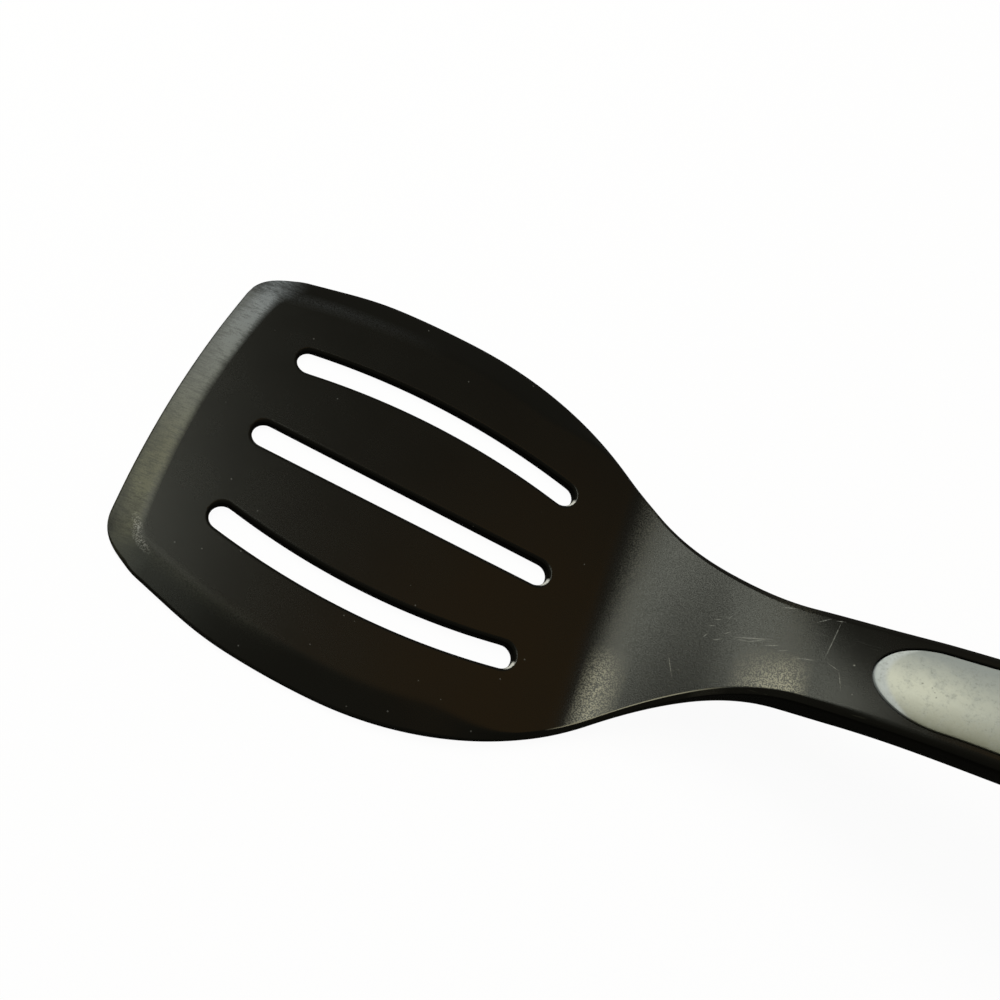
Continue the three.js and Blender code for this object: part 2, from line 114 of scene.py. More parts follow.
def linear(code):
    """Linear colour of an sRGB hex code, with an alpha of one."""
    parts = np.array([int(code[i:i + 2], 16) for i in (1, 3, 5)]) / 255.0
    return (*np.where(parts <= 0.04045, parts / 12.92, ((parts + 0.055) / 1.055) ** 2.4), 1.0)


def length(label, millimetres, description):
    """Length property, written here in millimetres and held in metres."""
    return FloatProperty(name=label, description=description, default=millimetres * MM,
                         unit='LENGTH', subtype='DISTANCE')


def colour(label, code, description):
    """Colour property, written here as an sRGB hex code and held as linear light."""
    return FloatVectorProperty(name=label, description=description, default=linear(code),
                               size=4, min=0.0, max=1.0, subtype='COLOR')


class SpatulaBlade(PropertyGroup):
    """Sizes of the blade and its slots."""
    width: length("Width", 95.48, "Widest place of the blade")
    reach: length("Reach", 94, "From the origin forward to the front edge")
    widest_ahead: length("Widest ahead", 40.5, "From the origin forward to the widest place")
    edge_radius: length("Front edge radius", 270, "Bow of the front edge, seen from above")
    corner_radius: length("Corner radius", 11, "Rounding of the two front corners")
    side_front_radius: length("Side radius, front", 158, "Bow of the sides ahead of the widest place")
    side_rear_radius: length("Side radius, rear", 84.5, "Bow of the sides behind the widest place")
    flare_angle: FloatProperty(name="Flare angle", description="Turn of the side where the neck takes over",
                               default=math.radians(41), subtype='ANGLE')
    thickness: length("Thickness", 2.6, "Thickness of the flat panel at the heel")
    front_thickness: length("Front thickness", 1.7, "Thickness of the flat panel behind the front bevel")
    edge_thickness: length("Edge thickness", 0.6, "Thickness left at the edges")
    heel_edge: length("Heel edge", 1.8, "Thickness left at the edges beside the heel")
    heel_edge_start: length("Heel edge start", 52, "From the origin forward to where the edges start to thicken")
    lip: length("Lip", 0.25, "Bulge of the rounded front lip")
    edge_round: length("Edge rounding", 0.2, "Rounding of the lower edges")
    front_bevel: length("Front bevel", 5, "Width of the sloped front margin")
    crest_radius: length("Crest radius", 170, "Bow of the line where the front bevel meets the panel")
    crest_fade: length("Crest fade", 30, "Distance in which that bow fades out of the sections")
    crest_corner: length("Crest corner", 7, "Length of the crest's rounded front corners")
    crest_soft: length("Crest softness", 1.1, "Half the width of the rounded crest")
    side_bevel: length("Side bevel", 6.8, "Width of the sloped side margins")
    side_bevel_end: length("Side bevel end", 21, "From the origin forward to where the side bevels fade")
    heel_chamfer: length("Heel chamfer", 1.1, "Width of the margin that is left at the heel")
    slot_width: length("Slot width", 5.6, "Width of the slots")
    slot_front: length("Slot front margin", 18, "From the front edge to the middle slot")
    slot_rear: length("Slot rear margin", 4.8, "From the middle slot to the origin")
    slot_setback: length("Outer slot setback", 0.7, "How far the outer slots end short of the middle one")
    slot_pitch: length("Slot pitch", 24.85, "From the middle line to an outer slot's middle")
    slot_radius: length("Outer slot radius", 157, "Bow of the outer slots")
    slot_rim: length("Slot rim", 0.7, "Rounding of the slots' upper rims")
    slot_under: length("Slot lower rim", 0.3, "Rounding of the slots' lower rims")


class SpatulaHandle(PropertyGroup):
    """Sizes of the heel, the neck and the handle."""
    heel_x: length("Heel", 5.5, "Where the blade starts to rise")
    steep_x: length("Steepest place", 31, "Where the neck is steepest")
    steep_rise: length("Steepest place, rise", 12.1, "Height of the neck there, above the heel")
    steep_slope: FloatProperty(name="Steepest slope", description="Rise over run there", default=0.714)
    start_x: length("Handle start", 59, "Where the handle starts")
    start_rise: length("Handle start, rise", 27, "Height of the handle there")
    start_slope: FloatProperty(name="Handle slope", description="Rise over run there", default=0.426)
    end_x: length("Handle end", 220.95, "End of the handle")
    end_rise: length("Handle end, rise", 61.1, "Height of the handle's end")
    end_slope: FloatProperty(name="End slope", description="Rise over run at the end", default=0.09)
    neck_x: length("Neck", 48, "Narrowest place of the neck")
    neck_width: length("Neck width", 22.7, "Width of the neck")
    neck_edge: length("Neck edge", 1.4, "Width of the broken edge along the neck")
    neck_edge_drop: length("Neck edge drop", 0.8, "Height of that broken edge")
    neck_depth: length("Neck depth", 10.5, "Depth of the tool where the handle starts")
    grip_x: length("Grip", 100, "Widest place of the grip")
    grip_width: length("Grip width", 26.2, "Width of the grip")
    grip_depth: length("Grip depth", 12.4, "Depth of the grip")
    round_x: length("Round shoulders", 76, "Where the shoulders are fully round")
    shoulder_inset: length("Shoulder inset", 3.8, "Width of the rounded shoulders")
    shoulder_drop: length("Shoulder drop", 3.2, "Height of the rounded shoulders")
    top_crown: length("Top crown", 0.48, "Arch of the handle's top")
    crown_run: length("Crown run", 10, "From the neck forward to where that arch fades")
    tail_from_end: length("Tail", 30, "From the end back to the tail's full width")
    tail_width: length("Tail width", 24, "Width of the tail")
    tail_depth: length("Tail depth", 11, "Depth of the tail")
    end_round: length("End rounding", 13, "Length of the rounded end")
    end_thinning: FloatProperty(name="End thinning", description="Share of the depth lost at the end",
                                default=0.4, subtype='FACTOR')
    end_keel: FloatProperty(name="End keel", description="Share of the lower half's depth left at the end",
                            default=0.1, subtype='FACTOR')
    under_x: length("Underside start", 10, "Where the underside starts to round off")
    under_round: length("Underside rounding", 7, "Height of the rounded lower sides")
    under_inset: length("Underside inset", 11.5, "Width of the rounded lower sides")
    min_flank: length("Least flank", 0.4, "Least height of the upright flank")
    shell_x: length("Back shell front", 44, "Where the back shell starts")
    seam_gap: length("Seam gap", 0.3, "Gap along the back shell's seam")
    skirt_wall: length("Skirt wall", 1.2, "Wall of the body outside the back shell's tongue")
    skirt_depth: length("Skirt depth", 1, "Height of the skirt")
    hang_from_end: length("Hang hole", 17, "From the handle's end to the middle of the hang hole")
    hang_length: length("Hang hole length", 14, "Length of the hang hole")
    hang_width: length("Hang hole width", 8, "Width of the hang hole")
    hang_rim: length("Hang hole rim", 0.8, "Rounding of the hang hole's rim")
    hang_seam: length("Hang hole seam", 0.15, "Rounding of the edges at the seam inside the hang hole")


class SpatulaGrip(PropertyGroup):
    """Sizes of the grip pad and its pocket."""
    front_x: length("Front", 60.8, "Front tip of the pad")
    from_end: length("Rear", 40, "From the handle's end to the rear tip of the pad")
    front_width: length("Front width", 17.9, "Width of the pad behind its rounded front")
    width: length("Width", 19.6, "Widest place of the pad")
    front_round: length("Front rounding", 14, "Length of the elliptic front")
    rear_round: length("Rear rounding", 20, "Length of the elliptic rear")
    rear_taper: length("Rear taper", 2.2, "Half the width lost towards the rear")
    proud: length("Proud", 0.1, "Height of the pad's face above the handle")
    crown: length("Crown", 0.6, "Arch of the pad's face over the handle's own")
    rim: length("Rim", 2.4, "Width of the pad's rounded rim")
    rim_drop: length("Rim drop", 0.45, "Height of the pad's rounded rim")
    joint: length("Joint", 0.4, "Gap round the pad")
    land: length("Land", 0.4, "Least flat strip between the pocket and the shoulders")
    pocket_rim: length("Pocket rim", 0.2, "Rounding of the pocket's rim")
    pocket_depth: length("Pocket depth", 1.6, "Depth of the pocket")


class SpatulaFinish(PropertyGroup):
    """Colours of the pieces and the stage."""
    nylon: colour("Nylon", "#0b0a07", "Moulded black nylon, slightly brown")
    glint: colour("Nylon glint", "#fcffef", "Tint of what the nylon reflects")
    rubbed_warm: colour("Rubbed nylon, near side", "#555543", "Nylon rubbed pale on the front bevel's near half")
    rubbed_cool: colour("Rubbed nylon, far side", "#6d7274", "Nylon rubbed pale on the front bevel's far half")
    # Painted highlight: pale grain tips in the highlight bands on the neck's bends, and a pale line along its near
    # edge
    grain_highlight: colour("Grain highlight", "#8c8975", "Painted highlight on the grain of the neck's bends and on its near edge")
    # Real scratches and dust, and painted highlights: glints on the near front corner and at the slots' rear ends
    marks_and_glint_white: colour("Marks and glints", "#c9c9c0", "Scratches, dust, and painted glints on the near front corner and the slots' rear ends")
    pad: colour("Grip pad", "#c4c7b6", "Warm grey elastomer")
    # Cooler grey for the mottling, and for painted shade on the pad's far side and towards its far end
    pad_mottle_and_far_shade: colour("Grip pad, far side", "#8c928e", "Cooler grey of the pad's mottling, with painted shade on its far side and far end")
    # Painted shade on the pad's near side
    pad_near_shade: colour("Grip pad, near side", "#838574", "Painted shade on the pad's near side")
    # Painted highlight on the rim round the pad's front tip
    pad_tip_highlight: colour("Grip pad tip", "#b5bbb7", "Painted highlight on the rim round the pad's front tip")
    pad_pit: colour("Grip pad pit", "#6f7166", "Dirt in small nicks of the pad")
    floor: colour("Floor", "#f7f7f5", "Plain pale floor")
    floor_bounce: colour("Floor bounce", "#4a4a46", "Light that the floor throws back on the tool")


def ease(x, start, stop, a, b):
    """Smooth step from a at start to b at stop: cubic 3t2 - 2t3 of the clamped share t."""
    t = np.clip((x - start) / (stop - start), 0.0, 1.0)
    return a + (b - a) * t * t * (3.0 - 2.0 * t)


def hermite(x, x0, v0, m0, x1, v1, m1):
    """Cubic from v0 with slope m0 at x0 to v1 with slope m1 at x1."""
    run = x1 - x0
    t = np.clip((x - x0) / run, 0.0, 1.0)
    return v0 + (v1 - v0) * t * t * (3.0 - 2.0 * t) + run * t * (1.0 - t) * ((1.0 - t) * m0 - t * m1)


def root(values):
    """Square root with anything below zero taken as zero."""
    return np.sqrt(np.maximum(values, 0.0))


def distance(places, line):
    """Distances from places to a plan line: the least over its segments of the distance to the foot point."""
    start, along = line[:-1], np.diff(line, axis=0)
    offset = places[:, None, :] - start[None, :, :]
    foot = np.clip((offset * along).sum(axis=2) / (along * along).sum(axis=1), 0.0, 1.0)
    return np.sqrt(((offset - foot[:, :, None] * along) ** 2).sum(axis=2).min(axis=1))


class Form:
    """The tool's shape as functions of the place x along it, for whole arrays at once."""

    def __init__(self, blade, handle, grip):
        self.blade, self.handle, self.grip = blade, handle, grip
        self.round_start = handle.end_x - handle.end_round
        self.tail_x = handle.end_x - handle.tail_from_end
        self.crest_x = blade.front_bevel - blade.reach
        self.crest_end = self.crest_x + blade.crest_corner
        self.taper = (blade.thickness - blade.front_thickness) / (handle.heel_x - self.crest_x)
        self.corner_x = blade.corner_radius - blade.reach
        reach = blade.side_front_radius - blade.corner_radius
        run = self.corner_x + blade.widest_ahead
        self.corner_y = blade.width / 2 - blade.side_front_radius + math.sqrt(reach ** 2 - run ** 2)
        self.corner_end = self.corner_x + run * blade.corner_radius / reach
        self.flare_x = blade.side_rear_radius * math.sin(blade.flare_angle) - blade.widest_ahead
        self.flare_half = blade.width / 2 - blade.side_rear_radius * (1 - math.cos(blade.flare_angle))
        slot_front = blade.slot_front - blade.reach
        self.slot_x = (slot_front - blade.slot_rear) / 2
        self.slot_c = (-blade.slot_rear - slot_front - blade.slot_width) / 2
        self.slot_r = blade.slot_width / 2 + blade.slot_rim
        self.join_x = slot_front - blade.slot_rim - blade.slot_width / 4
        self.outer_c = self.slot_c - blade.slot_setback
        self.sweep = math.asin(self.outer_c / blade.slot_radius)
        self.outer_y = blade.slot_pitch - blade.slot_radius * (1 - math.cos(self.sweep))
        self.hang_x = handle.end_x - handle.hang_from_end
        self.hang_r = handle.hang_width / 2 + handle.hang_rim
        self.hang_c = (handle.hang_length - handle.hang_width) / 2
        self.pad_end = handle.end_x - grip.from_end

    def top_rise(self, x):
        """Rise of the top face above the heel: three cubics, flattening to the handle's end."""
        h = self.handle
        neck = hermite(x, h.heel_x, 0.0, self.taper, h.steep_x, h.steep_rise, h.steep_slope)
        bend = hermite(x, h.steep_x, h.steep_rise, h.steep_slope, h.start_x, h.start_rise, h.start_slope)
        grip = hermite(x, h.start_x, h.start_rise, h.start_slope, h.end_x, h.end_rise, h.end_slope)
        return np.where(x < h.steep_x, neck, np.where(x < h.start_x, bend, grip))

    def end_factor(self, x):
        """1 along the handle, then a quarter ellipse down to 0 at its end."""
        return root(1.0 - np.maximum(0.0, (x - self.round_start) / self.handle.end_round) ** 2)

    def side_arc(self, x, radius):
        """Half width on an arc whose widest place is the blade's."""
        return self.blade.width / 2 - radius + root(radius ** 2 - (x + self.blade.widest_ahead) ** 2)

    def half_width(self, x):
        """Half width: corner arc, two side arcs, a cubic into the neck, then smooth steps."""
        b, h = self.blade, self.handle
        corner = self.corner_y + root(b.corner_radius ** 2 - (x - self.corner_x) ** 2)
        flare = hermite(x, self.flare_x, self.flare_half, -math.tan(b.flare_angle),
                        h.neck_x, h.neck_width / 2, 0.0)
        grip = ease(x, h.neck_x, h.grip_x, h.neck_width / 2, h.grip_width / 2)
        tail = ease(x, h.grip_x, self.tail_x, grip, h.tail_width / 2) * self.end_factor(x)
        return np.select(
            [x < self.corner_end, x < -b.widest_ahead, x < self.flare_x, x < h.neck_x],
            [corner, self.side_arc(x, b.side_front_radius), self.side_arc(x, b.side_rear_radius), flare],
            tail)

    def panel_height(self, x):
        """Height of the flat panel, which thickens evenly from the front crest to the heel."""
        return self.blade.front_thickness + self.taper * (np.clip(x, self.crest_x, self.handle.heel_x) - self.crest_x)

    def blade_height(self, x):
        """Height of the blade on its middle line: a straight climb up the front bevel, then the panel."""
        b = self.blade
        climb = np.clip((x + b.reach) / b.front_bevel, 0.0, 1.0)
        return b.edge_thickness + (self.panel_height(x) - b.edge_thickness) * climb

    def edge_height(self, x):
        """Height of the blade's edge: thin at the front, and a smooth step up to the heel."""
        b = self.blade
        return ease(x, -b.heel_edge_start, 0.0, b.edge_thickness, b.heel_edge)

    def side_crest(self, x):
        """Half width of the side bevels' crest: the outline less a margin that fades to a chamfer at the heel."""
        b = self.blade
        return self.half_width(x) - ease(x, -b.side_bevel_end, 0.0, b.side_bevel, b.heel_chamfer)

    def crest_half(self, x):
        """Half width of the whole crest: the side crest, cut at the front corners by a quarter ellipse."""
        t = np.clip((self.crest_end - x) / self.blade.crest_corner, 0.0, 1.0)
        widest = self.side_crest(np.array([self.crest_end]))
        rounded = self.corner_y + (widest - self.corner_y) * root(1.0 - t * t)
        cut = np.minimum(rounded, np.maximum(self.corner_y, self.side_crest(x)))
        return np.where(x > self.crest_end, self.side_crest(x), cut)

    def bow(self, x, y):
        """Forward curve of the solids' blade sections: half the curvature times y squared."""
        b = self.blade
        ahead = x + b.reach
        curve = ease(ahead, 0.0, b.front_bevel, 1 / b.edge_radius, 1 / b.crest_radius)
        return ease(ahead, b.front_bevel, b.front_bevel + b.crest_fade, curve, 0.0) * y * y / 2

    def row_bow(self, s):
        """Curvature of the mesh rows: as the sections up to the crest, then straight ahead of the slots."""
        b = self.blade
        curve = ease(s + b.reach, 0.0, b.front_bevel, 1 / b.edge_radius, 1 / b.crest_radius)
        return curve * np.clip((self.join_x - s) / (self.join_x - self.crest_x), 0.0, 1.0)

    def plan_line(self, half, start):
        """Outline or crest of the blade's half, seen from above: across the front, then back along the side."""
        turn = np.linspace(0.0, 1.0, CORNER_STEPS) ** 2
        past_corner = self.corner_end + 2 * MM
        p = np.concatenate([start + turn * (past_corner - start), np.linspace(past_corner, 0.0, SIDE_STEPS)[1:]])
        across = np.linspace(0.0, self.corner_y, FRONT_STEPS)[:-1]
        s, y = np.concatenate([np.full(len(across), start), p]), np.concatenate([across, half(p)])
        return s, np.stack([s + self.bow(s, y), y], axis=1)

    def on_rows(self, s, half):
        """Half width on mesh row s of a line whose half width on the solids' sections is given."""
        p, line = self.plan_line(half, -self.blade.reach)
        p, (x, y) = p[FRONT_STEPS - 1:], line[FRONT_STEPS - 1:].T
        crest = self.crest_x + y * y / (2 * self.blade.crest_radius)
        share = (x - crest) / (self.join_x - crest)
        row = np.where(share < 1.0, self.crest_x + share * (self.join_x - self.crest_x), x)
        row = np.where(p <= self.crest_x, p, row)
        return np.where(s < 0.0, np.interp(s, row, y), half(s))

    def bevel_height(self, x, y, inside):
        """Height of the blade's top face. It climbs with the distance from the outline over the sum of the
        distances from the outline and the crest, and a parabola rounds the crest off."""
        b = self.blade
        place = np.stack([x, y], axis=2).reshape(-1, 2)
        rim = distance(place, self.plan_line(self.half_width, -b.reach)[1]).reshape(x.shape)
        crest = distance(place, self.plan_line(self.crest_half, self.crest_x)[1]).reshape(x.shape)
        total = np.maximum(np.where(inside, rim - crest, rim + crest), b.heel_chamfer / 2)
        share, soft = rim / total, np.minimum(b.crest_soft / total, MOST_SOFT)
        rounded = 1.0 - (1.0 + soft - share) ** 2 / (4.0 * soft)
        climb = np.where(share < 1.0 - soft, share, np.where(share > 1.0 + soft, 1.0, rounded))
        edge = self.edge_height(x)
        return edge + (self.panel_height(x) - edge) * climb

    def section(self, s):
        """Cross sections at the places s: arrays of widths and heights, one entry for each place. The handle's
        end thins towards its seam."""
        b, h = self.blade, self.handle
        end = self.end_factor(s)
        thinning = 1.0 - h.end_thinning * (1.0 - end)
        rounding = np.maximum(end, h.end_keel)
        height = self.blade_height(s)
        neck = ease(s, h.heel_x, h.start_x, height, h.neck_depth)
        grip = ease(s, h.start_x, h.grip_x, neck, h.grip_depth)
        depth = ease(s, h.grip_x, self.tail_x, grip, h.tail_depth)
        drop = ease(s, self.flare_x, h.neck_x, height - self.edge_height(s), h.neck_edge_drop)
        drop = ease(s, h.neck_x, h.grip_x, drop, h.shoulder_drop)
        under = ease(s, h.under_x, h.grip_x, b.edge_round, h.under_round)
        under = np.minimum(under, depth - drop - h.min_flank)
        seam = height + self.top_rise(s) - depth + under
        half = self.on_rows(s, self.half_width)
        neck_inset = ease(s, 0.0, h.neck_x, b.heel_chamfer, h.neck_edge)
        inset = ease(s, h.neck_x, h.grip_x, neck_inset, h.shoulder_inset) * end
        pocket = self.pad_half(s, self.pocket_gap())
        flat = np.maximum(half - inset, np.where(pocket > 0.0, pocket + self.grip.land, 0.0))
        flat = np.where(s < 0.0, self.on_rows(s, self.crest_half), flat)
        return SimpleNamespace(
            s=s, half=half, flat=flat, seam=seam, end=end,
            top=seam + (depth - under) * thinning,
            bottom=seam - under * rounding,
            drop=drop * thinning,
            roundness=ease(s, h.neck_x, h.round_x, 0.0, 1.0),
            under_round=under * rounding,
            under_flat=half - np.minimum(half, ease(s, h.under_x, h.grip_x, b.edge_round, h.under_inset) * end),
            crown=ease(s, h.neck_x - h.crown_run, h.start_x, 0.0, h.top_crown) * end,
            curve=self.row_bow(s))

    def middle_slot(self, s):
        """Half width of the middle slot's rim: a bar with round ends."""
        over = np.maximum(0.0, np.abs(s - self.slot_x) - self.slot_c)
        return root(self.slot_r ** 2 - over ** 2)

    def hang_hole(self, s):
        """Half width of the hang hole's rim: a bar with round ends."""
        over = np.maximum(0.0, np.abs(s - self.hang_x) - self.hang_c)
        return root(self.hang_r ** 2 - over ** 2)

    def outer_slot(self, s):
        """Inner and outer rim of an outer slot: concentric arcs joined by round ends."""
        b = self.blade
        d = np.abs(s - self.slot_x)
        centre = b.slot_pitch - b.slot_radius
        inner_r, outer_r = b.slot_radius - self.slot_r, b.slot_radius + self.slot_r
        cap = root(self.slot_r ** 2 - (d - self.outer_c) ** 2)
        turn = math.sin(self.sweep)
        inner = np.where(d < inner_r * turn, centre + root(inner_r ** 2 - d * d), self.outer_y - cap)
        outer = np.where(d < outer_r * turn, centre + root(outer_r ** 2 - d * d), self.outer_y + cap)
        return inner, outer

    def pad_half(self, s, gap):
        """Half width of the pad, or of its pocket with a gap: elliptic ends and a taper to the rear."""
        g = self.grip
        front = np.clip((g.front_x + g.front_round - s) / (g.front_round + gap), 0.0, 1.0)
        rear = np.clip((s - self.pad_end + g.rear_round) / (g.rear_round + gap), 0.0, 1.0)
        half = ease(s, g.front_x + g.front_round, self.handle.grip_x, g.front_width / 2, g.width / 2)
        half = ease(s, self.handle.grip_x, self.pad_end, half, half - g.rear_taper)
        return (half + gap) * root((1.0 - front ** 2) * (1.0 - rear ** 2))

    def pocket_gap(self):
        """Gap from the pad's outline to the outer side of the pocket's rounded rim."""
        return self.grip.joint + self.grip.pocket_rim


def crowd(tip, centre, steps):
    """Places from a tip to the centre of its rounding, crowded at the tip as on a quarter circle."""
    return centre + (tip - centre) * np.cos(np.linspace(0.0, math.pi / 2, steps))


def in_order(places):
    """Places of several lists in rising order, each kept once."""
    places = np.sort(np.concatenate(places))
    return places[np.append(True, np.diff(places) > WELD / 10)]


def stations(form):
    """Rows of the body: even steps, with more where an edge, a slot, the pocket or the end rounds off."""
    b, h, g = form.blade, form.handle, form.grip
    gap = form.pocket_gap()
    rows = [
        np.maximum(crowd(-b.reach, form.corner_end, 18), b.lip - b.reach),
        form.crest_x + b.crest_soft * np.array([-1.0, -0.5, 0.0, 0.5, 1.0]),
        np.linspace(form.crest_x + b.crest_soft, form.join_x, 14),
        np.linspace(form.slot_x - form.outer_c, form.slot_x + form.outer_c, 48),
        np.linspace(-b.slot_rear, h.start_x, 72),
        np.linspace(h.start_x, form.round_start, 72),
        [g.front_x - gap - SUPPORT, form.pad_end + gap + SUPPORT],
        crowd(g.front_x - gap, g.front_x + g.front_round, 16),
        crowd(form.pad_end + gap, form.pad_end - g.rear_round, 16),
        crowd(h.end_x, form.round_start, 20)]
    for middle, straight, radius in (
            (form.slot_x, form.slot_c, form.slot_r), (form.slot_x, form.outer_c, form.slot_r),
            (form.hang_x, form.hang_c, form.hang_r)):
        for way in (-1.0, 1.0):
            tip = middle + way * (straight + radius)
            rows += [crowd(tip, middle + way * straight, TIP_STEPS), [tip + way * SUPPORT]]
    return in_order(rows)


def between(a, b, shares):
    """Rows of values from a to b at the given shares."""
    return a[:, None] + (b - a)[:, None] * shares[None, :]


def grid_quads(rows, columns):
    """Corner numbers of the quads of a grid."""
    a = (np.arange(rows - 1)[:, None] * columns + np.arange(columns - 1)[None, :]).ravel()
    return np.stack([a, a + columns, a + columns + 1, a + 1], axis=1)


def surface(name, halves, middle=()):
    """Mesh object from grids of points: halves, their mirrored copies and grids on the middle line. Doubles are
    merged, collapsed quads become triangles or go, and the closed skin's normals are turned outwards."""
    patches = [*halves, *(patch * MIRRORED for patch in halves), *middle]
    places = np.concatenate([patch.reshape(-1, 3) for patch in patches])
    starts = np.cumsum([0] + [patch.shape[0] * patch.shape[1] for patch in patches])
    quads = np.concatenate([grid_quads(*patch.shape[:2]) + at for patch, at in zip(patches, starts)])
    _, first, merged = np.unique(np.round(places / WELD).astype(np.int64), axis=0,
                                 return_index=True, return_inverse=True)
    quads = merged.reshape(-1)[quads]
    same = quads == np.roll(quads, -1, axis=1)
    crossed = (quads[:, 0] == quads[:, 2]) | (quads[:, 1] == quads[:, 3])
    whole = quads[(same.sum(axis=1) == 0) & ~crossed]
    third = (same.sum(axis=1) == 1) & ~crossed
    triangles = quads[third][~same[third]].reshape(-1, 3)
    mesh = bpy.data.meshes.new(name)
    mesh.from_pydata(places[first], [], whole.tolist() + triangles.tolist())
    shell = bmesh.new()
    shell.from_mesh(mesh)
    bmesh.ops.dissolve_degenerate(shell, edges=shell.edges, dist=WELD)
    bmesh.ops.recalc_face_normals(shell, faces=shell.faces)
    shell.to_mesh(mesh)
    shell.free()
    mesh.shade_smooth()
    piece = bpy.data.objects.new(name, mesh)
    bpy.context.scene.collection.objects.link(piece)
    return piece


def outward(ring):
    """Normals of a closed plan ring, pointing out of the hole it bounds."""
    ahead = np.roll(ring, -1, axis=0) - ring
    behind = ring - np.roll(ring, 1, axis=0)
    near, far = np.linalg.norm(behind, axis=1), np.linalg.norm(ahead, axis=1)
    tangent = ahead * (near / far)[:, None] + behind * (far / near)[:, None]
    normal = np.stack([tangent[:, 1], -tangent[:, 0]], axis=1)
    normal /= np.linalg.norm(normal, axis=1)[:, None]
    area = np.sum(ring[:, 0] * np.roll(ring[:, 1], -1) - ring[:, 1] * np.roll(ring[:, 0], -1))
    return normal * np.sign(area)


def around(forth, back):
    """Values round a hole: along one side over all its rows, and back along the other."""
    return np.concatenate([forth, back[-2:0:-1]])


def hole_wall(s, middle, reach, sides, upper, lower, rim, lower_rim):
    """Wall of a hole with its tips at a reach from its middle: an arc in from the upper rim that starts as a crease
    of RIM_CREASE and ends upright, then straight down, a quarter round out to the lower rim, and level to the
    place below the upper one. Sides and heights have an entry for each row s."""
    k = np.flatnonzero(np.abs(s - middle) <= reach + WELD)
    one, other = sides
    ring = np.stack([around(s[k], s[k]), around(one[k], other[k])], axis=1)
    bend, turn = np.linspace(RIM_CREASE, math.pi / 2, RIM_STEPS), np.linspace(math.pi / 2, 0.0, RIM_STEPS)
    radius = rim / (1 - math.sin(RIM_CREASE))
    inset = np.concatenate([radius * (np.sin(bend) - math.sin(RIM_CREASE)),
                            rim - lower_rim * (1 - np.sin(turn)), [0.0]])
    fall = radius * (math.cos(RIM_CREASE) - np.cos(bend))
    lift = np.append(lower_rim * (1 - np.cos(turn)), 0.0)
    z = np.concatenate([around(upper[k], upper[k])[:, None] - fall,
                        around(lower[k], lower[k])[:, None] + lift], axis=1)
    plan = ring[:, None, :] - inset[:, None] * outward(ring)[:, None, :]
    wall = np.concatenate([plan, z[:, :, None]], axis=2)
    return np.concatenate([wall, wall[:1]])


def points(sec, y, z):
    """Points of section rows: the blade's rows are bowed forward by half their curvature times y squared."""
    y, z = np.broadcast_arrays(y, z)
    return np.stack([sec.s[:, None] + sec.curve[:, None] * y * y / 2, y, z], axis=2)


def front_lip(form, above, below):
    """Rounded front lip: the mean of its upper and lower line, moved out to the blade's outline."""
    b = form.blade
    middle = (above + below) / 2
    over = np.maximum(0.0, middle[:, 1] - form.corner_y)
    middle[:, 0] -= root(b.corner_radius ** 2 - over ** 2) - (b.corner_radius - b.lip)
    return np.stack([above, middle, below])


def blade_top(form, sec, rows, y):
    """Heights of the blade's top face on some of its rows."""
    s, curve = sec.s[rows][:, None], sec.curve[rows][:, None]
    inside = (s >= form.crest_x) & (y <= sec.flat[rows][:, None])
    return form.bevel_height(s + curve * y * y / 2, y, inside)


